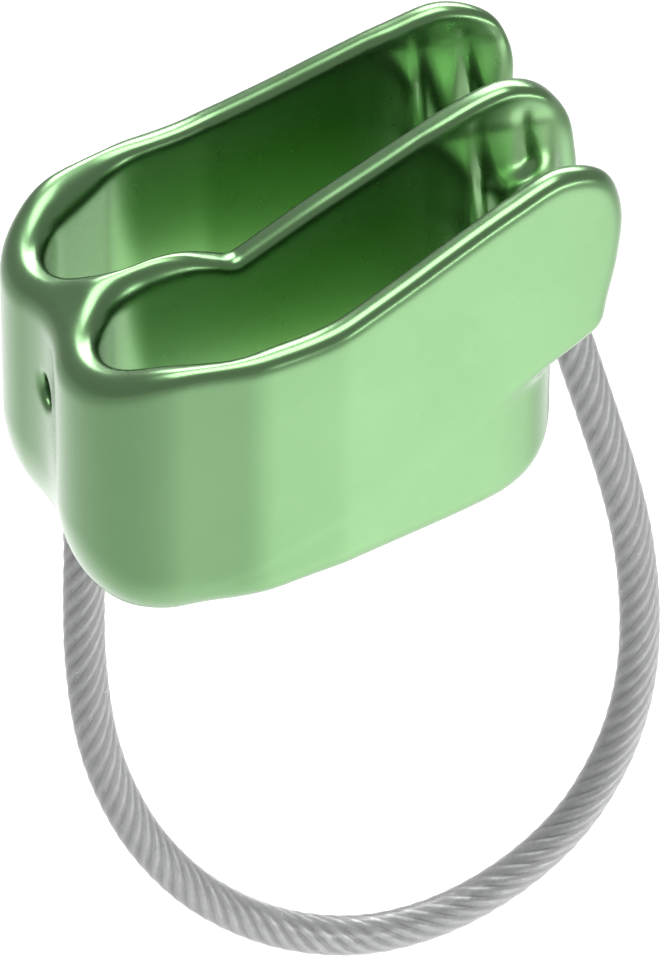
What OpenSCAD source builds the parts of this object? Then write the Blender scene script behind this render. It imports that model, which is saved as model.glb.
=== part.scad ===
// Tubular belay device: a forged two-slot body with a sheathed wire-rope keeper loop.
// Millimetres. +X runs towards the braking nose, +Y across both rope slots, +Z up along the slots.
// The origin is where the carabiner bears: on the middle plane, under the centre of the body.

/* [Body] */
// Thickness of each outer cheek plate
cheek_t = 3.0; // [2.6:0.1:3.4]
// Thickness of the web between the two rope slots
web_t = 3.0; // [2.6:0.1:3.6]
// Thickness of the wall that closes both slots at the heel
heel_wall_t = 4.7; // [4.3:0.1:5.2]
// Thickness of the wall that closes both slots under the nose
nose_wall_t = 3.9; // [3:0.1:4.4]
// Clear width of one rope slot at its widest
slot_w = 17.0; // [15:0.1:17.6]
// Clear length of one rope slot
slot_len = 40.8; // [38:0.1:42]
// Outside width of the body at its widest
body_w = 43.0; // [41:0.1:44]

/* [Braking nose] */
// Height of the bottom of the V channels above the carabiner seat
v_floor_z = 20; // [18:0.5:23]
// Height at which the V channels reach their full width
v_top_z = 34; // [32:0.5:36]
// Radius of the rounded bottom of each V channel
v_floor_r = 2.2; // [1.5:0.1:3]
// Radius of the valleys between the friction ridges
valley_r = 1.3; // [0.9:0.1:1.6]
// Distance between two friction ridges
ridge_pitch = 4.6; // [4:0.1:5]

/* [Keeper cable] */
// Outside diameter of the clear sheath
sheath_d = 4.2; // [3.8:0.1:4.4]
// Diameter of the wire rope inside the sheath
rope_d = 3.2; // [2.8:0.1:3.2]
// Outside diameter of the swaged end ferrules
ferrule_d = 4.4; // [4.2:0.1:4.6]
// Length of each ferrule
ferrule_len = 8; // [6:0.5:8.5]
// Diameter of the staking hole in the heel groove
staking_d = 3.5; // [2.5:0.1:3.8]
// Lean of the nose end of the cable from vertical, in degrees
nose_lean = 18; // [16:1:20]

/* [Hidden] */

far = 100;
bore_gap = 0.02;
swage_gap = 0.06;
sheath_gap = 0.08;

// Rope slot on the +Y side, as circles [x, y, radius] whose hull is its outline.
heel_x = -20.3;
slot_nose_x = heel_x + slot_len;
slot_y = web_t / 2;
slot_r = slot_w / 2;
belly_y = body_w / 2 - cheek_t - slot_r;
belly_x = [-7.5, -1];
heel_r = 6.9;
nose_r = 6.0;
slot_circles = [
    [heel_x + heel_r, slot_y + heel_r, heel_r],
    [belly_x[0], belly_y, slot_r],
    [belly_x[1], belly_y, slot_r],
    [slot_nose_x - nose_r, belly_y + 0.2, nose_r],
    [slot_nose_x - nose_r, slot_y + nose_r, nose_r],
];

// Outside of the body on the +Y side, in the same way; the cheek plates taper to the nose.
tip = [31.5, 15.2, cheek_t / 2];
nose_x = 28.5;
nose_inner_y = 14.1;
plate_taper = 8.5;
nose_start = 16;
outer_circles = [
    [heel_x + heel_r, slot_y + heel_r, heel_r + heel_wall_t],
    [belly_x[0], belly_y, slot_r + cheek_t],
    [belly_x[1], belly_y, slot_r + cheek_t],
    tip,
];

// Below the nose each side ends in a round lobe, and what lies outside it is cut away.
lobe_r = 9;
lobe_x = slot_nose_x + nose_wall_t - lobe_r;
undercut_plan = concat(
    [[lobe_x + 1.5, far], [lobe_x + 1.5, body_w / 2]],
    [for (t = [72 : -9 : -90]) [lobe_x + lobe_r * cos(t), belly_y + lobe_r * sin(t)]],
    [[slot_nose_x + 1.4, belly_y - lobe_r], [slot_nose_x + 1.4, 0], [far, 0], [far, far]]
);
undercut_side = [[10, -far], [10, 10.7], [18.5, 14.2], [24.4, 16.8], [40, 18], [40, -far]];

// Side outline of the body and its cheek plates, [x, z], joined by a smooth closed curve.
side_points = [
    [-25, 8], [-25, 16], [-24.2, 20.6], [-21.5, 22.9], [-18.5, 24.5], [-15, 25.4], [-9, 26.1], [-2, 27.4],
    [5, 30.2], [12, 33.4], [18, 36], [23.5, 37.8], [28.5, 36.1], [30.5, 31.5], [30.1, 26],
    [28.8, 20.5], [26.6, 17], [24.4, 14.5], [23.6, 11], [22, 7.4], [18.5, 4.6], [13, 2.4],
    [0, -0.3], [-12, -3.7], [-17, -4.4], [-21, -3.6], [-24, -0.4],
];

// Top of the web between the slots, [x, z]: a saddle at the heel, then a straight rise to the nose.
web_top_points = [
    [-15, 26.2], [-12, 25.9], [-8, 25.2], [-4.5, 24.2], [3, 28.3], [11, 32.6], [19, 36.8],
    [24.5, 38.6], [29, 39.5],
];
// The web's own nose, which stands out past the cheek plates.
web_tip_points = [
    [22, 24], [23, 36.8], [25.4, 37.4], [28.3, 36.2], [30.6, 33.2], [31.4, 29.5], [31.6, 26], [30.9, 21],
    [29.4, 18], [25, 19],
];

// Ends of the cable: a vertical bore in the heel, a leaning one in the nose of the web.
heel_bore_x = -20.1;
heel_mouth_z = -3;
heel_bore_top_z = 17.6;
nose_mouth = [28.6, 15.8];
nose_bore_len = 12.5;
lean_dir = [-sin(nose_lean), cos(nose_lean)];
function along_nose(s) = nose_mouth + s * lean_dir;
ferrule_inset = 3.5;
valley_lean = 14;
ridge_lean = 6;
v_step = 0.15;
v_overlap = 1.2;
valley_rise = 3;
valley_bite = 0.2;
boss_r = ferrule_d / 2 + 1.3;
staking_z = 12.6;
groove_x = -23;
heel_fill = 8;
nose_fill_w = 22;

// Route of the wire rope in the middle plane, [x, z], from the heel ferrule to the nose ferrule.
route = [
    [heel_bore_x, heel_bore_top_z - 1], [heel_bore_x, 8], [heel_bore_x, 0], [heel_bore_x, -7],
    [-20.3, -14], [-20.2, -21.5], [-19.3, -30], [-17.4, -37.5], [-14.2, -45], [-9.5, -52],
    [-3.8, -57.5], [2.5, -61.4], [9.5, -63.6], [16.5, -63.6], [23, -61.7], [28.5, -58.5],
    [33, -54.2], [36.3, -48.8], [38.5, -42.8], [39.6, -36], [39.6, -28], [38.6, -19.5],
    [36.8, -11.5], [34.5, -3.5],
    along_nose(-5), along_nose(3), along_nose(nose_bore_len - 1),
];
sheath_first = 1;
sheath_last = len(route) - 2;
ring_sides = 8;

body_colour = "#8fcf8a";
steel_colour = "#b9bcc0";
sheath_colour = "#dfe3e6";

// Outline of the hull of circles, grown by g.
function reach(c, d) = c[0] * d[0] + c[1] * d[1] + c[2];
function furthest(cs, d, k = 0, best = 0) =
    k == len(cs) ? best : furthest(cs, d, k + 1, reach(cs[k], d) > reach(cs[best], d) ? k : best);
function wrap_outline(cs, n = 60) = [
    for (k = [0 : n - 1])
        let (t = 360 * k / n, d = [cos(t), sin(t)], c = cs[furthest(cs, d)])
            [c[0] + c[2] * d[0], c[1] + c[2] * d[1]]
];

// Catmull-Rom curves through a list of points.
function blend4(a, b, c, d, t) =
    0.5 * (2 * b + (c - a) * t + (2 * a - 5 * b + 4 * c - d) * t * t
        + (3 * b - a - 3 * c + d) * t * t * t);
function closed_curve(p, steps = 4) = [
    for (i = [0 : len(p) - 1], k = [0 : steps - 1])
        let (n = len(p))
            blend4(p[(i + n - 1) % n], p[i], p[(i + 1) % n], p[(i + 2) % n], k / steps)
];
function open_curve(p, steps = 4) = [
    for (i = [0 : len(p) - 2], k = [0 : steps - 1])
        blend4(p[max(i - 1, 0)], p[i], p[i + 1], p[min(i + 2, len(p) - 1)], k / steps),
    p[len(p) - 1],
];

// A solid swept from an outline drawn in X and Z, centred on the middle plane.
module across(width, outline) {
    rotate([90, 0, 0]) linear_extrude(width, center = true) polygon(outline);
}

// A solid swept from an outline drawn in X and Y.
module up(outline) {
    translate([0, 0, -far / 2]) linear_extrude(far) polygon(outline);
}

module both_sides() {
    children();
    mirror([0, 1, 0]) children();
}

// The whole body before anything is cut through it: two lobed halves and a filled heel and nose.
module blank() {
    intersection() {
        across(far, closed_curve(side_points));
        union() {
            both_sides() up(wrap_outline(outer_circles));
            translate([groove_x, -heel_fill / 2, -far / 2]) cube([heel_fill, heel_fill, far]);
            translate([0, -nose_fill_w / 2, -far / 2]) cube([nose_x, nose_fill_w, far]);
        }
    }
}

module undercut() {
    intersection() {
        up(undercut_plan);
        across(far, undercut_side);
    }
}

// Everything above the top of the web, between the slots.
module over_web() {
    across(2 * slot_y + 1, concat([[-15, far]], open_curve(web_top_points), [[far, far]]));
}

module cable_boss() {
    translate([nose_mouth[0], 0, nose_mouth[1]])
        rotate([0, -nose_lean, 0]) cylinder(r = boss_r, h = nose_bore_len, $fn = 48);
}

// V channel on the +Y side: one half lies along the web, the other along the tapering cheek plate,
// and the two overlap in the middle.
v_mid_y = (slot_y + nose_inner_y) / 2;
v_half = (nose_inner_y - slot_y) / 2 - v_step;
function v_arc(first) = [
    for (t = [first : 20 : first + 60]) [v_floor_r * cos(t), v_floor_z + v_floor_r * (1 + sin(t))]
];
floor_arc = v_arc(200);
web_half = concat(
    [[-v_half, far], [-v_half, v_top_z]],
    floor_arc,
    [[v_overlap, floor_arc[3][1]], [v_overlap, far]]
);
plate_half = [for (q = web_half) [-q[0], q[1]]];

module along_nose_x(section) {
    translate([-nose_start, 0, 0]) rotate([90, 0, 90]) linear_extrude(2 * nose_start) polygon(section);
}

// Leaning valley in a wall of the channel; the metal between two valleys is a friction ridge.
module valley(side) {
    valley_len = v_top_z - v_floor_z - valley_rise;
    translate([0, side * (v_half - valley_r + valley_bite), v_top_z])
        rotate([-side * valley_lean, -ridge_lean, 0])
            translate([0, 0, -valley_len]) cylinder(r = valley_r, h = valley_len, $fn = 32);
}

module v_channel() {
    translate([nose_x, v_mid_y, 0]) {
        along_nose_x(web_half);
        rotate([0, 0, -plate_taper]) along_nose_x(plate_half);
        for (k = [0, 1]) {
            x = slot_nose_x + 0.3 + k * ridge_pitch - nose_x;
            translate([x, 0, 0]) valley(-1);
            rotate([0, 0, -plate_taper]) translate([x, 0, 0]) valley(1);
        }
    }
}

module ferrule_bore(depth) {
    translate([0, 0, -far / 4]) cylinder(d = ferrule_d + 2 * bore_gap, h = depth + far / 4, $fn = 48);
}

module body() {
    color(body_colour) difference() {
        union() {
            difference() {
                blank();
                both_sides() {
                    undercut();
                    up(wrap_outline(slot_circles));
                    v_channel();
                }
                over_web();
            }
            across(web_t, web_tip_points);
            cable_boss();
        }
        translate([heel_bore_x, 0, heel_mouth_z]) ferrule_bore(heel_bore_top_z - heel_mouth_z);
        translate([nose_mouth[0], 0, nose_mouth[1]]) rotate([0, -nose_lean, 0]) ferrule_bore(nose_bore_len);
        translate([heel_bore_x - 10, 0, staking_z])
            rotate([0, 90, 0]) cylinder(d = staking_d, h = 10, $fn = 32);
    }
}

// Steel sleeve swaged on the end of the rope, standing on its lower end.
module ferrule() {
    color(steel_colour) difference() {
        cylinder(d = ferrule_d, h = ferrule_len, $fn = 48);
        translate([0, 0, -1]) cylinder(d = rope_d + 2 * swage_gap, h = ferrule_len + 2, $fn = 48);
    }
}

module heel_ferrule() {
    translate([heel_bore_x, 0, heel_bore_top_z - 1 - ferrule_len]) ferrule();
}

module nose_ferrule() {
    translate([nose_mouth[0], 0, nose_mouth[1]])
        rotate([0, -nose_lean, 0]) translate([0, 0, ferrule_inset]) ferrule();
}

// Rings of a cord: each lies across the route, which stays in the middle plane.
function heading(p, i) = let (d = p[min(i + 1, len(p) - 1)] - p[max(i - 1, 0)]) d / norm(d);
function ring(p, i, r) =
    let (h = heading(p, i), side = [h[1], -h[0]])
        [for (k = [0 : ring_sides - 1])
            let (t = 360 * k / ring_sides)
                [p[i][0] + r * cos(t) * side[0], r * sin(t), p[i][1] + r * cos(t) * side[1]]];
function skin(i, k, n) =
    let (a = i * n + k, b = i * n + (k + 1) % n) [a + n, b + n, b, a];

// A solid through rings of points that follow each other.
module through_rings(rings) {
    n = len(rings[0]);
    last = len(rings) - 1;
    polyhedron(
        points = [for (r = rings) each r],
        faces = [
            [for (k = [0 : n - 1]) k],
            for (i = [0 : last - 1], k = [0 : n - 1]) skin(i, k, n),
            [for (k = [n - 1 : -1 : 0]) last * n + k],
        ]
    );
}

module cord(p, r) {
    through_rings([for (i = [0 : len(p) - 1]) ring(p, i, r)]);
}

module wire_rope() {
    color(steel_colour) cord(route, rope_d / 2);
}

module cable_sheath() {
    p = [for (i = [sheath_first : sheath_last]) route[i]];
    color(sheath_colour, 0.6) difference() {
        cord(p, sheath_d / 2);
        cord(route, rope_d / 2 + sheath_gap);
    }
}

body();
heel_ferrule();
nose_ferrule();
wire_rope();
cable_sheath();
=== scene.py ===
import math

import bpy
import numpy as np
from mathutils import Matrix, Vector


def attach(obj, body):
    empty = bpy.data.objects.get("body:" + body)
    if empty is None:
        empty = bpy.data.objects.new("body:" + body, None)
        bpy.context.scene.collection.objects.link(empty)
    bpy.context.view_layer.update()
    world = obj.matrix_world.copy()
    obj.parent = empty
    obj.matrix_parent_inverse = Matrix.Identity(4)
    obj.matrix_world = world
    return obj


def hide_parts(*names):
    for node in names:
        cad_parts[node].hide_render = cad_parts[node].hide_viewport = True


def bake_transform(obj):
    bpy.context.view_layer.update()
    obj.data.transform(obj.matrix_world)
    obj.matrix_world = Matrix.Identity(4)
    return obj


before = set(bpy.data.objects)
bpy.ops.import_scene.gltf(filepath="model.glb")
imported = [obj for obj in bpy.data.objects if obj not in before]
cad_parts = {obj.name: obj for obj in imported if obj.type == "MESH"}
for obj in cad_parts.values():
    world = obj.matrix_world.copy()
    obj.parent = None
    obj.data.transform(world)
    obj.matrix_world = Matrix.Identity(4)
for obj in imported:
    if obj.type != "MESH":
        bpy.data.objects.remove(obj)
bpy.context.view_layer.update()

MM = 0.001
Y_AXIS = np.array([0.0, 1.0, 0.0])


def deg(angle):
    return math.radians(angle)


# ---------------------------------------------------------------- camera

AZIMUTH, ELEVATION = deg(-20), deg(35)
TARGET = Vector((6.05, 0.0, -5.0)) * MM
DISTANCE = 0.84
LENS, SENSOR = 315, 36
NEAR_CLIP = 0.01


def make_camera():
    """A long lens above the heel's left, with the whole device and its loop in view."""
    back = Vector((
        math.sin(AZIMUTH) * math.cos(ELEVATION),
        -math.cos(AZIMUTH) * math.cos(ELEVATION),
        math.sin(ELEVATION),
    ))
    data = bpy.data.cameras.new("camera")
    data.lens = LENS
    data.sensor_width = SENSOR
    data.clip_start = NEAR_CLIP
    camera = bpy.data.objects.new("camera", data)
    bpy.context.scene.collection.objects.link(camera)
    camera.location = TARGET + DISTANCE * back
    camera.rotation_euler = back.to_track_quat("Z", "Y").to_euler()
    bpy.context.scene.camera = camera


make_camera()


# ---------------------------------------------------------------- shader helpers

class Nodes:
    """A short way to write the nodes of one material or world."""

    def __init__(self, owner, shader, place):
        owner.use_nodes = True
        self.tree = owner.node_tree
        self.shader = self.tree.nodes[shader]
        self.place = self.add("ShaderNodeTexCoord").outputs[place]

    def add(self, kind, **settings):
        node = self.tree.nodes.new(kind)
        for name, value in settings.items():
            setattr(node, name, value)
        return node

    def link(self, source, target):
        self.tree.links.new(source, target)

    def feed(self, value, socket):
        """A socket takes another node's output, a colour or a number."""
        if isinstance(value, bpy.types.NodeSocket):
            self.link(value, socket)
        elif isinstance(value, tuple):
            socket.default_value = (*value, 1.0)
        else:
            socket.default_value = value

    def set(self, values):
        """What is the same all over the surface goes straight on the shader."""
        for name, value in values.items():
            self.feed(value, self.shader.inputs[name])

    def noise(self, scale, detail, roughness=0.5):
        node = self.add("ShaderNodeTexNoise")
        node.inputs["Scale"].default_value = scale
        node.inputs["Detail"].default_value = detail
        node.inputs["Roughness"].default_value = roughness
        self.link(self.place, node.inputs["Vector"])
        return node.outputs["Fac"]

    def attribute(self, name):
        return self.add("ShaderNodeAttribute", attribute_name=name).outputs["Fac"]

    def ramp(self, source, first, second):
        """A colour that goes from first to second as a noise rises through its middle range."""
        node = self.add("ShaderNodeValToRGB")
        for element, position, colour in zip(node.color_ramp.elements, (0.3, 0.7), (first, second)):
            element.position = position
            element.color = (*colour, 1.0)
        self.link(source, node.inputs["Fac"])
        return node.outputs["Color"]

    def spread(self, source, low, high):
        """Maps a factor from 0..1 to low..high."""
        node = self.add("ShaderNodeMapRange")
        node.inputs["To Min"].default_value = low
        node.inputs["To Max"].default_value = high
        self.link(source, node.inputs["Value"])
        return node.outputs["Result"]

    def mix(self, factor, first, second):
        node = self.add("ShaderNodeMix", data_type="RGBA")
        colour_a, colour_b = [s for s in node.inputs if s.type == "RGBA"]
        self.feed(factor, node.inputs[0])
        self.feed(first, colour_a)
        self.feed(second, colour_b)
        return [s for s in node.outputs if s.type == "RGBA"][0]

    def bump(self, height, distance, strength):
        node = self.add("ShaderNodeBump")
        node.inputs["Distance"].default_value = distance
        node.inputs["Strength"].default_value = strength
        self.link(height, node.inputs["Height"])
        self.link(node.outputs["Normal"], self.shader.inputs["Normal"])


def material_nodes(name):
    material = bpy.data.materials.new(name)
    return material, Nodes(material, "Principled BSDF", "Object")


# ---------------------------------------------------------------- materials

def anodised_metal():
    """Satin green anodising over bead-blasted aluminium, with painted shade deep in the slots, a painted
    highlight on the brake channel walls near the nose, and rounded edges painted paler: partly painted sheen,
    partly thinner anodising.
    """
    material, m = material_nodes("green_anodised")
    face = m.ramp(m.noise(90, 3), (0.140, 0.292, 0.118), (0.155, 0.310, 0.132))
    # Rounded edges go paler: partly painted sheen, partly thinner anodising on the edges.
    sheen_edged = m.mix(m.attribute("edge"), face, (0.17, 0.34, 0.13))
    # Painted highlight: the channel walls near the nose go paler, standing in for light reflected there.
    highlighted_tone = m.mix(m.attribute("channel_highlight"), sheen_edged, (0.19, 0.37, 0.15))
    m.set({
        # Painted shade: the slot interiors go darker green, as shade falls down in the slots.
        "Base Color": m.mix(m.attribute("slot_shade"), highlighted_tone, (0.090, 0.270, 0.045)),
        "Roughness": m.spread(m.noise(700, 4), 0.25, 0.32),
        "Metallic": 1.0,
        "Coat Weight": 0.75,
        "Coat IOR": 1.6,
        "Coat Roughness": 0.24,
    })
    m.bump(m.noise(9000, 3, 0.6), 0.00001, 0.2)
    return material


def wire_metal():
    """Drawn steel wire: bright, with fine streaks of tone."""
    material, m = material_nodes("drawn_steel")
    m.set({
        "Base Color": m.ramp(m.noise(2500, 3), (0.58, 0.58, 0.59), (0.72, 0.73, 0.74)),
        "Roughness": m.spread(m.noise(5000, 2), 0.34, 0.46),
        "Metallic": 1.0,
    })
    m.bump(m.noise(12000, 2), 0.00001, 0.3)
    return material


def swaged_metal():
    """Steel ferrule with faint ring marks from the swaging dies."""
    material, m = material_nodes("swaged_steel")
    rings = m.add("ShaderNodeTexWave", bands_direction="Z")
    rings.inputs["Scale"].default_value = 450
    rings.inputs["Distortion"].default_value = 1.5
    m.link(m.place, rings.inputs["Vector"])
    m.set({
        "Base Color": m.ramp(m.noise(1500, 3), (0.46, 0.46, 0.47), (0.58, 0.58, 0.59)),
        "Roughness": m.spread(rings.outputs["Fac"], 0.28, 0.40),
        "Metallic": 1.0,
    })
    m.bump(rings.outputs["Fac"], 0.00003, 0.4)
    return material


def clear_plastic():
    """Milky extruded sheath that the strands show through."""
    material, m = material_nodes("clear_sheath")
    m.set({
        "Base Color": m.ramp(m.noise(500, 3), (0.60, 0.60, 0.60), (0.68, 0.68, 0.68)),
        "Roughness": m.spread(m.noise(900, 2), 0.20, 0.30),
        "Transmission Weight": 0.74,
        "IOR": 1.4,
    })
    m.bump(m.noise(1800, 2), 0.00002, 0.25)
    return material


# ---------------------------------------------------------------- mesh helpers

def mesh_object(name, points, faces, material):
    mesh = bpy.data.meshes.new(name)
    mesh.from_pydata([tuple(p) for p in points], [], [tuple(f) for f in faces])
    mesh.materials.append(material)
    mesh.shade_smooth()
    mesh.update()
    obj = bpy.data.objects.new(name, mesh)
    bpy.context.scene.collection.objects.link(obj)
    return obj


def spline(a, b, c, d, t):
    """Catmull-Rom curve from b to c, with a before and d after them."""
    return 0.5 * (2 * b + (c - a) * t + (2 * a - 5 * b + 4 * c - d) * t**2 + (3 * b - a - 3 * c + d) * t**3)


def open_curve(points, step):
    """Points every `step` or so along a smooth curve through the given points."""
    p = np.asarray(points, float)
    ends = np.vstack([2 * p[0] - p[1], p, 2 * p[-1] - p[-2]])
    curve = []
    for a, b, c, d in zip(ends, ends[1:], ends[2:], ends[3:]):
        n = max(2, int(round(np.linalg.norm(c - b) / step)))
        for t in np.arange(n) / n:
            curve.append(spline(a, b, c, d, t))
    return np.array(curve + [p[-1]])


class Path:
    """A centreline in the middle plane, with its length and a frame at each point."""

    def __init__(self, points):
        self.points = np.asarray(points, float)
        self.along = np.gradient(self.points, axis=0)
        self.along /= np.linalg.norm(self.along, axis=1)[:, None]
        self.out = np.column_stack([self.along[:, 2], 0 * self.along[:, 0], -self.along[:, 0]])
        steps = np.linalg.norm(np.diff(self.points, axis=0), axis=1)
        self.run = np.concatenate([[0], np.cumsum(steps)])
        self.length = self.run[-1]


def tube(name, path, section, sides, material):
    """Sweeps section(angle, run) -> (out, across) offsets along a path."""
    angles = 2 * math.pi * np.arange(sides) / sides
    out, across = section(angles[None, :], path.run[:, None])
    rings = path.points[:, None, :] + out[..., None] * path.out[:, None, :] + across[..., None] * Y_AXIS
    return rings_mesh(name, rings, material)


def rings_mesh(name, rings, material):
    """A closed skin over rings of points that follow each other."""
    count, sides = rings.shape[:2]
    faces = []
    for i in range(count - 1):
        for k in range(sides):
            a, b = i * sides + k, i * sides + (k + 1) % sides
            faces.append((a, b, b + sides, a + sides))
    faces.append(tuple(range(sides - 1, -1, -1)))
    faces.append(tuple(range((count - 1) * sides, count * sides)))
    return mesh_object(name, rings.reshape(-1, 3), faces, material)


# ---------------------------------------------------------------- keeper cable

NOSE_MOUTH = np.array([28.6, 15.8])
NOSE_LEAN = deg(18)
NOSE_BORE = 12.5
HEEL_BORE_X, HEEL_BORE_TOP = -20.1, 17.6


def along_nose(s):
    return tuple(NOSE_MOUTH + s * np.array([-math.sin(NOSE_LEAN), math.cos(NOSE_LEAN)]))


# The route of the wire rope in the middle plane, (x, z) in millimetres.
ROUTE = [
    (HEEL_BORE_X, HEEL_BORE_TOP - 1), (HEEL_BORE_X, 8), (HEEL_BORE_X, 0), (HEEL_BORE_X, -7),
    (-20.3, -14), (-20.2, -21.5), (-19.3, -30), (-17.4, -37.5), (-14.2, -45), (-9.5, -52),
    (-3.8, -57.5), (2.5, -61.4), (9.5, -63.6), (16.5, -63.6), (23, -61.7), (28.5, -58.5),
    (33, -54.2), (36.3, -48.8), (38.5, -42.8), (39.6, -36), (39.6, -28), (38.6, -19.5),
    (36.8, -11.5), (34.5, -3.5),
    along_nose(-5), along_nose(3), along_nose(NOSE_BORE - 1),
]
SHEATH_R = 2.1 * MM
FLUTE_DEPTH = 0.035 * MM
CORE_R = 0.55 * MM
STRAND_R = 0.53 * MM
STRANDS = 6
# The strands wind round the core at LAY_R, and the wires round each strand.
LAY_R = 1.06 * MM
LAY_PITCH = 13 * MM
WIRE_PITCH = 5 * MM
WIRE_DEPTH = 0.10


def route_points(first, last, step):
    points = [(x * MM, 0.0, z * MM) for x, z in ROUTE[first:last]]
    return open_curve(points, step * MM)


def sheath_section(angle, run):
    """The sheath follows the strands a little, so its outside is faintly fluted."""
    flute = np.cos(STRANDS * (angle - 2 * math.pi * run / LAY_PITCH))
    r = SHEATH_R + FLUTE_DEPTH * flute
    return r * np.cos(angle), r * np.sin(angle)


def core_section(angle, run):
    r = CORE_R + 0 * run
    return r * np.cos(angle), r * np.sin(angle)


def strand_rings(path, turn, sides):
    """One strand laid round the rope's middle, with its six outer wires as lobes."""
    lay = 2 * math.pi * path.run / LAY_PITCH + turn
    away = np.cos(lay)[:, None] * path.out + np.sin(lay)[:, None] * Y_AXIS
    centre = path.points + LAY_R * away
    heading = np.gradient(centre, axis=0)
    heading /= np.linalg.norm(heading, axis=1)[:, None]
    away -= heading * np.sum(away * heading, axis=1)[:, None]
    away /= np.linalg.norm(away, axis=1)[:, None]
    beside = np.cross(heading, away)
    angle = 2 * math.pi * np.arange(sides)[None, :] / sides
    wires = np.abs(np.cos(3 * (angle + 2 * math.pi * path.run[:, None] / WIRE_PITCH)))
    r = STRAND_R * (1 - WIRE_DEPTH + WIRE_DEPTH * wires)
    return (centre[:, None, :] + (r * np.cos(angle))[..., None] * away[:, None, :]
            + (r * np.sin(angle))[..., None] * beside[:, None, :])


def joined(objects, name):
    with bpy.context.temp_override(active_object=objects[0], selected_editable_objects=objects):
        bpy.ops.object.join()
    objects[0].name = name
    return objects[0]


def make_cable():
    steel = wire_metal()
    rope_path = Path(route_points(0, len(ROUTE), 0.5))
    core = tube("rope_core", rope_path, core_section, 8, steel)
    strands = [
        rings_mesh(f"strand_{k}", strand_rings(rope_path, 2 * math.pi * k / STRANDS, 18), steel)
        for k in range(STRANDS)
    ]
    rope = joined([core, *strands], "rope_strands")
    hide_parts("wire_rope")

    sheath_path = Path(route_points(1, len(ROUTE) - 1, 0.6))
    sheath = tube("clear_sheath", sheath_path, sheath_section, 36, clear_plastic())
    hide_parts("cable_sheath")
    return rope, sheath


rope, sheath = make_cable()
for piece in (rope, sheath):
    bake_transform(piece)


# ---------------------------------------------------------------- body: outlines, in millimetres

# Circles (x, y, radius); the outline is their hull.
SLOT = [(-13.4, 8.4, 6.9), (-7.5, 10.0, 8.5), (-1.0, 10.0, 8.5), (14.5, 10.2, 6.0), (14.5, 7.5, 6.0)]
SHELL = [(-13.4, 8.4, 11.6), (-7.5, 10.0, 11.5), (-1.0, 10.0, 11.5)]
OUTER = SHELL + [(32.5, 15.0, 1.5)]
LOBE = SHELL + [(15.6, 10.0, 9.0)]

# Side outline of the cheek plates and of the web, (x, z).
# Past the heel and under the nose they run on outside the plan outline, which ends the body there.
UNDER = [
    (28.5, 15), (27, 10), (24.3, 5.9), (19.5, 3.2), (13, 1.7), (0, -0.1), (-8, -1.6), (-12, -3.0),
    (-17, -4.8), (-21, -5.2), (-24.5, -4.0), (-28, -1), (-32, 4),
]
RIM = [
    (-32, 16.0), (-26, 20.2), (-21.5, 22.9), (-18.5, 24.5), (-15, 25.4), (-9, 26.1), (-2, 27.4), (5, 30.2),
    (12, 33.4), (18, 36.0), (23.5, 37.8), (28.5, 36.1), (30.5, 31.5),
]
SIDE = [*RIM, (30.1, 26), (28.8, 20.5), *UNDER]
WEB_SIDE = [
    (-32, 16.0), (-26, 20.2), (-21.5, 22.9), (-18.5, 24.6), (-14, 26.0), (-10, 25.8), (-6.2, 24.7),
    (-4.5, 24.2), (-3, 24.9), (3, 28.3), (8, 30.9), (16.4, 35.2), (22, 37.6), (25.3, 37.9), (28.3, 36.5),
    (30.6, 33.3), (31.4, 29.5), (31.6, 26), (30.9, 21), *UNDER,
]

# Brake channels: walls that close in below V_TOP, between the web and the tapering cheek plate.
NOSE_X = 28.5
WEB_FACE, PLATE_FACE = 1.6, 14.1
V_TOP, V_FLOOR = 34.0, 20.0
V_SLOPE = 0.283
V_START_X = 12
TAPER = 0.149

# Valleys in the channel's walls; what is left between two of them is a friction ridge.
RIDGE_X = (20.6, 25.4)
RIDGE_LEAN = 0.09
RIDGE_STEEP, RIDGE_GENTLE = deg(28), deg(52)
VALLEY_DEPTH = 0.15
VALLEY_SLOPE = 0.05
VALLEY_RISE = 2.5

# Outside walls: the filled nose, and the plates' bow and the cut-away below it.
FILL_HALF_W, FILL_X = 12.0, 28.6
WEB_HALF = 1.5
BOW = 0.6
GROOVE_FILLET = 6.0
CUT_X, CUT_Z, CUT_SLOPE = 10, 10.7, 0.44
CUT_NORMAL = 0.915

# Rounding of the edges.
TOP_EDGE, BOTTOM_EDGE, HEEL_EDGE = 1.4, 1.8, 6.0
OPENING_EDGE, HEEL_OPENING_EDGE = 1.0, 3.4

# Bores for the cable and its ferrules, and the staking hole.
BOSS_R, BORE_R, STAKING_R = 3.5, 2.3, 1.75
STAKING_Z = 12.6
BEYOND = 20

# The grid that the body is worked out on.
GRID_LOW, GRID_HIGH = np.array([-27.0, -23.0, -5.0]), np.array([34.0, 23.0, 40.0])
GRID_STEP, QUICK_STEP = 0.40, 0.55


def hull_outline(circles, n=240):
    angle = 2 * math.pi * np.arange(n) / n
    c = np.array(circles)
    reach = c[:, :1] * np.cos(angle) + c[:, 1:2] * np.sin(angle) + c[:, 2:]
    best = c[np.argmax(reach, axis=0)]
    return best[:, :2] + best[:, 2:] * np.column_stack([np.cos(angle), np.sin(angle)])


def closed_curve(points, steps=6):
    p = np.array(points, float)
    a, b, c, d = (np.roll(p, k, axis=0)[:, None] for k in (1, 0, -1, -2))
    t = (np.arange(steps) / steps)[None, :, None]
    return spline(a, b, c, d, t).reshape(-1, 2)


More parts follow.
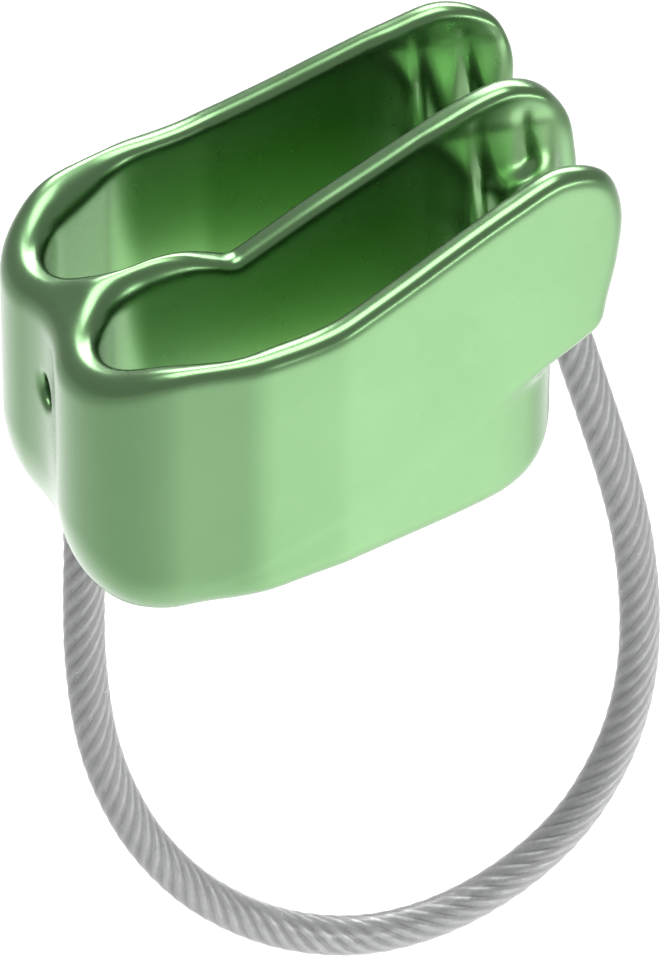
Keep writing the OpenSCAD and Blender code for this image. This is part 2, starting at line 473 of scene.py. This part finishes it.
def outline_distance(outline, u, v):
    """Signed distance from each grid point (u, v) to a closed outline, negative inside."""
    nearest = np.full(np.broadcast(u, v).shape, 1e9)
    inside = np.zeros(nearest.shape, bool)
    for (ax, ay), (bx, by) in zip(outline, np.roll(outline, -1, axis=0)):
        ex, ey = bx - ax, by - ay
        px, py = u - ax, v - ay
        t = np.clip((px * ex + py * ey) / (ex * ex + ey * ey + 1e-12), 0, 1)
        nearest = np.minimum(nearest, (px - t * ex) ** 2 + (py - t * ey) ** 2)
        if ay != by:
            inside ^= ((ay > v) != (by > v)) & (u < ex * (v - ay) / ey + ax)
    return np.where(inside, -1.0, 1.0) * np.sqrt(nearest)


# ---------------------------------------------------------------- body: solid from distance fields

def smooth(t):
    t = np.clip(t, 0, 1)
    return t * t * (3 - 2 * t)


def meet(a, b, r):
    """Where both solids are, with the edge between them rounded to radius r."""
    return np.hypot(np.maximum(a + r, 0), np.maximum(b + r, 0)) - r + np.minimum(np.maximum(a, b) + r, 0)


def join(a, b, r):
    """Both solids together, with a fillet of radius r between them."""
    return -meet(-a, -b, r)


def rod(x, y, z, point, direction, radius, low, high):
    """A round rod along a direction, from low to high along it."""
    s = (x - point[0]) * direction[0] + (y - point[1]) * direction[1] + (z - point[2]) * direction[2]
    square = (x - point[0]) ** 2 + (y - point[1]) ** 2 + (z - point[2]) ** 2 - s * s
    return meet(np.sqrt(np.maximum(square, 0)) - radius, np.maximum(s - high, low - s), 0.3)


def brake_channel(x, y, z):
    """V channel between the web and a cheek plate, with two leaning valleys in each wall."""
    below = np.maximum(V_TOP - z, 0) * V_SLOPE
    web_wall = WEB_FACE + below
    plate_wall = PLATE_FACE + TAPER * (NOSE_X - x) - below
    lean = math.cos(math.atan(V_SLOPE))
    wedge = np.maximum(web_wall - y, y - plate_wall) * lean
    channel = meet(wedge, V_FLOOR - z, 2.0)
    channel = np.maximum(channel, V_START_X - x)
    web_root = WEB_FACE + VALLEY_DEPTH + VALLEY_SLOPE * (V_TOP - z)
    plate_root = PLATE_FACE - VALLEY_DEPTH + TAPER * (NOSE_X - x) - VALLEY_SLOPE * (V_TOP - z)
    inward = np.minimum(y - web_root, plate_root - y)
    for ridge_x in RIDGE_X:
        along = x - ridge_x - RIDGE_LEAN * (V_TOP - z)
        steep = along * math.cos(RIDGE_STEEP) - inward * math.sin(RIDGE_STEEP)
        gentle = -along * math.cos(RIDGE_GENTLE) - inward * math.sin(RIDGE_GENTLE)
        valley = meet(np.maximum(steep, gentle), V_FLOOR + VALLEY_RISE - z, 1.0)
        valley = np.maximum(valley, z - V_TOP - 1.0)
        channel = join(channel, valley, 0.7)
    return channel


def rim_height(x):
    return np.interp(x, *np.transpose(RIM))


def body_field(x, y, z):
    """Signed distance to the forged body at grid points, negative in the metal, and to its openings."""
    side_y = np.abs(y)
    outer_plan = outline_distance(hull_outline(OUTER), x, y)
    outer_mirror = outline_distance(hull_outline(OUTER), x, -y)
    lobe = outline_distance(hull_outline(LOBE), x, y)
    lobe_mirror = outline_distance(hull_outline(LOBE), x, -y)
    slot_plan = outline_distance(hull_outline(SLOT), x, side_y)

    # Outside walls: both halves together, filled between the plates at the nose, cut away under it.
    block = meet(side_y - FILL_HALF_W, np.maximum(x - FILL_X, -x), 1.0)
    middle = join(block, np.maximum(side_y - WEB_HALF, -x), 1.5)
    bow = BOW * np.clip((x - 21) / 9, 0, 2) ** 2
    plan = np.minimum(join(outer_plan + bow, outer_mirror + bow, GROOVE_FILLET), middle)
    underside = (CUT_Z + CUT_SLOPE * (x - CUT_X) - z) * CUT_NORMAL
    crease = 1.2 * smooth((x - 14.5) / 5) + 0.01
    walls = meet(plan, join(join(lobe, lobe_mirror, GROOVE_FILLET), underside, crease), crease)

    # Top and bottom: the plates' outline, and the web's in the middle.
    plate_side = side_distance(SIDE, x, z)
    web_side = side_distance(WEB_SIDE, x, z)
    sides = web_side + (plate_side - web_side) * smooth((side_y - WEB_FACE) / 6)
    bottom_edge = BOTTOM_EDGE + (HEEL_EDGE - BOTTOM_EDGE) * smooth((-6 - x) / 14)
    edge = bottom_edge + (TOP_EDGE - bottom_edge) * smooth((z - 7) / 9)
    blank = meet(walls, sides, edge)

    # Rope slots and brake channels, with round edges all round.
    channel = brake_channel(x, side_y, z)
    openings = meet(-slot_plan + 0 * z, -channel, 0.4 + 1.8 * smooth((33 - z) / 8))
    heel_rounding = (HEEL_OPENING_EDGE - OPENING_EDGE) * smooth((-6 - x) / 10)
    solid = meet(blank, openings, OPENING_EDGE + heel_rounding)

    # Boss, bores and staking hole for the keeper cable.
    lean = (-math.sin(NOSE_LEAN), 0, math.cos(NOSE_LEAN))
    mouth = (NOSE_MOUTH[0], 0, NOSE_MOUTH[1])
    solid = join(solid, rod(x, y, z, mouth, lean, BOSS_R, 0, NOSE_BORE + 1), 1.6)
    nose_bore = rod(x, y, z, mouth, lean, BORE_R, -BEYOND, NOSE_BORE)
    heel_bore = rod(x, y, z, (HEEL_BORE_X, 0, 0), (0, 0, 1), BORE_R, -BEYOND, HEEL_BORE_TOP)
    staking = rod(x, y, z, (HEEL_BORE_X, 0, STAKING_Z), (1, 0, 0), STAKING_R, -BEYOND, 0)
    bores = np.minimum(np.minimum(nose_bore, heel_bore), staking)
    return meet(solid, -bores, 0.4), openings


def side_distance(points, x, z):
    """Distance to an outline in x and z, read from a fine table because the body's grid is large."""
    step = 0.25
    u = np.arange(-34, 42, step)
    v = np.arange(-14, 50, step)
    table = outline_distance(closed_curve(points), u[:, None], v[None, :])
    return sample(table, (u[0], v[0]), step, *np.broadcast_arrays(x, z))


def sample(table, start, step, *places):
    """Linear interpolation in a table of any number of dimensions."""
    cells, parts = [], []
    for axis, place in enumerate(places):
        at = np.clip((place - start[axis]) / step, 0, table.shape[axis] - 1.001)
        cell = np.floor(at).astype(int)
        cells.append(cell)
        parts.append(at - cell)
    total = 0
    for corner in range(2 ** len(places)):
        weight = 1.0
        index = []
        for axis in range(len(places)):
            high = corner >> axis & 1
            weight = weight * (parts[axis] if high else 1 - parts[axis])
            index.append(cells[axis] + high)
        total = total + weight * table[tuple(index)]
    return total


def soften(field):
    """Each grid point takes in a little of its neighbours."""
    for axis in range(3):
        place = np.arange(field.shape[axis])
        near = np.take(field, np.maximum(place - 1, 0), axis)
        far = np.take(field, np.minimum(place + 1, place[-1]), axis)
        field = (near + 2 * field + far) / 4
    return field


def crossings(inside, axis):
    """Grid edges along an axis that the surface crosses, and which points lie at their low ends."""
    low = tuple(slice(None, -1) if k == axis else slice(None) for k in range(3))
    high = tuple(slice(1, None) if k == axis else slice(None) for k in range(3))
    return np.argwhere(inside[low] != inside[high]), low, high


def shifted(cells, u, v, du, dv):
    moved = cells.copy()
    moved[:, u] += du
    moved[:, v] += dv
    return moved


def surface_of(field):
    """Quads on the zero surface of a grid field: one point in each cell that the surface crosses."""
    inside = field < 0
    shape = np.array(field.shape)
    total = np.zeros((*(shape - 1), 3))
    count = np.zeros(tuple(shape - 1))
    for axis in range(3):
        crossed, low, high = crossings(inside, axis)
        a = field[low][tuple(crossed.T)]
        b = field[high][tuple(crossed.T)]
        point = crossed.astype(float)
        point[:, axis] += a / (a - b)
        u, v = [k for k in range(3) if k != axis]
        for du, dv in ((0, 0), (0, -1), (-1, 0), (-1, -1)):
            cell = shifted(crossed, u, v, du, dv)
            good = np.all((cell >= 0) & (cell < shape - 1), axis=1)
            np.add.at(total, tuple(cell[good].T), point[good])
            np.add.at(count, tuple(cell[good].T), 1)
    used = count > 0
    number = np.full(count.shape, -1)
    number[used] = np.arange(used.sum())
    points = total[used] / count[used][:, None]

    faces = []
    for axis, (u, v) in enumerate([(1, 2), (2, 0), (0, 1)]):
        crossed, low, _ = crossings(inside, axis)
        crossed = crossed[np.all((crossed[:, [u, v]] > 0) & (crossed[:, [u, v]] < shape[[u, v]] - 1), axis=1)]
        leaving = inside[low][tuple(crossed.T)]
        around = ((-1, -1), (0, -1), (0, 0), (-1, 0))
        quads = np.column_stack([number[tuple(shifted(crossed, u, v, du, dv).T)] for du, dv in around])
        quads[~leaving] = quads[~leaving][:, ::-1]
        faces.append(quads)
    return points, np.vstack(faces)


def settle(points, faces, field, rounds=4):
    """Evens the points out, puts each one back on the surface, and adds the normals."""
    slopes = np.gradient(field)
    ends = np.vstack([faces[:, [0, 1]], faces[:, [1, 2]], faces[:, [2, 3]], faces[:, [3, 0]]])
    ends = np.vstack([ends, ends[:, ::-1]])
    degree = np.bincount(ends[:, 0], minlength=len(points))[:, None]

    def read(table):
        return sample(table, (0, 0, 0), 1.0, *points.T)

    for k in range(rounds):
        if k < rounds - 1:
            total = np.column_stack([
                np.bincount(ends[:, 0], weights=points[ends[:, 1], axis], minlength=len(points))
                for axis in range(3)
            ])
            points = 0.5 * points + 0.5 * total / degree
        for _ in range(2):
            normal = np.column_stack([read(s) for s in slopes])
            size = np.maximum(np.sum(normal**2, axis=1), 1e-6)
            points = points - np.clip(read(field) / size, -0.5, 0.5)[:, None] * normal
    normal = np.column_stack([read(s) for s in slopes])
    return points, normal / np.linalg.norm(normal, axis=1)[:, None], faces


def paint(obj, name, values):
    """A factor at each point of the mesh, for a material to read."""
    layer = obj.data.attributes.new(name, "FLOAT", "POINT")
    layer.data.foreach_set("value", values.astype(np.float32))


def paint_body(body, points, where, field, openings, step):
    """Paints the rounded edges paler (partly painted sheen, partly thinner anodising), painted shade down in
    the slots, and a painted highlight on the channel walls near the nose.
    """
    curving = sum(np.gradient(g, axis=k) for k, g in enumerate(np.gradient(soften(field))))
    bend = sample(curving, (0, 0, 0), 1.0, *points.T) / step
    wall = 1 - smooth(np.abs(sample(openings, (0, 0, 0), 1.0, *points.T)) / 1.2)
    x, z = where[:, 0], where[:, 2]
    under_rim = rim_height(x) - z
    nose = smooth((x - 13) / 6)
    away_from_heel = 0.3 + 0.7 * smooth((x + 16) / 18)
    # Paler rounded edges: partly painted sheen, partly thinner anodising.
    paint(body, "edge", smooth((bend - 0.10) / 0.6))
    # Painted shade down the slot walls below the rim, weaker near the heel and none at the nose.
    paint(body, "slot_shade", wall * smooth((under_rim - 1.0) / 7) * (1 - nose) * away_from_heel)
    # Painted highlight on the channel walls at the nose, below the rim.
    paint(body, "channel_highlight", wall * smooth((under_rim - 0.5) / 2) * nose)


def make_body():
    step = GRID_STEP
    x, y, z = (np.arange(GRID_LOW[k], GRID_HIGH[k] + step, step) for k in range(3))
    field, openings = body_field(x[:, None, None], y[None, :, None], z[None, None, :])
    field = soften(field)
    points, normals, faces = settle(*surface_of(field), field)
    where = GRID_LOW + points * step
    body = mesh_object("forged_body", where * MM, faces, anodised_metal())
    body.data.normals_split_custom_set_from_vertices([tuple(n) for n in normals])
    paint_body(body, points, where, field, openings, step)
    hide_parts("body")
    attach(body, "device")


make_body()

ferrule_steel = swaged_metal()
for node in ("heel_ferrule", "nose_ferrule"):
    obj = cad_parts[node]
    obj.data.materials.clear()
    obj.data.materials.append(ferrule_steel)


# ---------------------------------------------------------------- floor and light

FLOOR_Z = -0.45
FLOOR_REACH = 60.0
FLOOR_GLOW = 0.28
WORLD_GLOW = 0.42


def make_floor():
    """A plain pale floor far below the device."""
    material, m = material_nodes("pale_floor")
    m.set({
        "Base Color": (0.86, 0.86, 0.86),
        "Roughness": m.spread(m.noise(3, 2), 0.86, 0.92),
        "Emission Color": (1.0, 1.0, 1.0),
        "Emission Strength": FLOOR_GLOW,
    })
    r, z = FLOOR_REACH, FLOOR_Z
    floor = mesh_object("floor", [(-r, -r, z), (r, -r, z), (r, r, z), (-r, r, z)], [(0, 1, 2, 3)], material)


def make_world():
    """An even pale surround."""
    world = bpy.data.worlds.new("studio")
    Nodes(world, "Background", "Generated").set({"Color": (0.92, 0.94, 0.92), "Strength": WORLD_GLOW})
    bpy.context.scene.world = world


def softbox(name, place, size, power):
    """A white area light that hangs level and lights the floor and the device from above."""
    data = bpy.data.lights.new(name, "AREA")
    data.shape = "RECTANGLE"
    data.size, data.size_y = size
    data.energy = power
    light = bpy.data.objects.new(name, data)
    bpy.context.scene.collection.objects.link(light)
    light.location = place


make_floor()
make_world()
softbox("front_right", (0.42, -0.60, 0.12), (0.60, 0.50), 8.4)
softbox("back", (0.25, 0.60, 0.45), (0.60, 0.50), 7.0)
softbox("top", (-0.10, 0.10, 0.80), (0.50, 0.50), 4.0)
bpy.context.scene.view_settings.view_transform = "Standard"

bpy.context.view_layer.update()
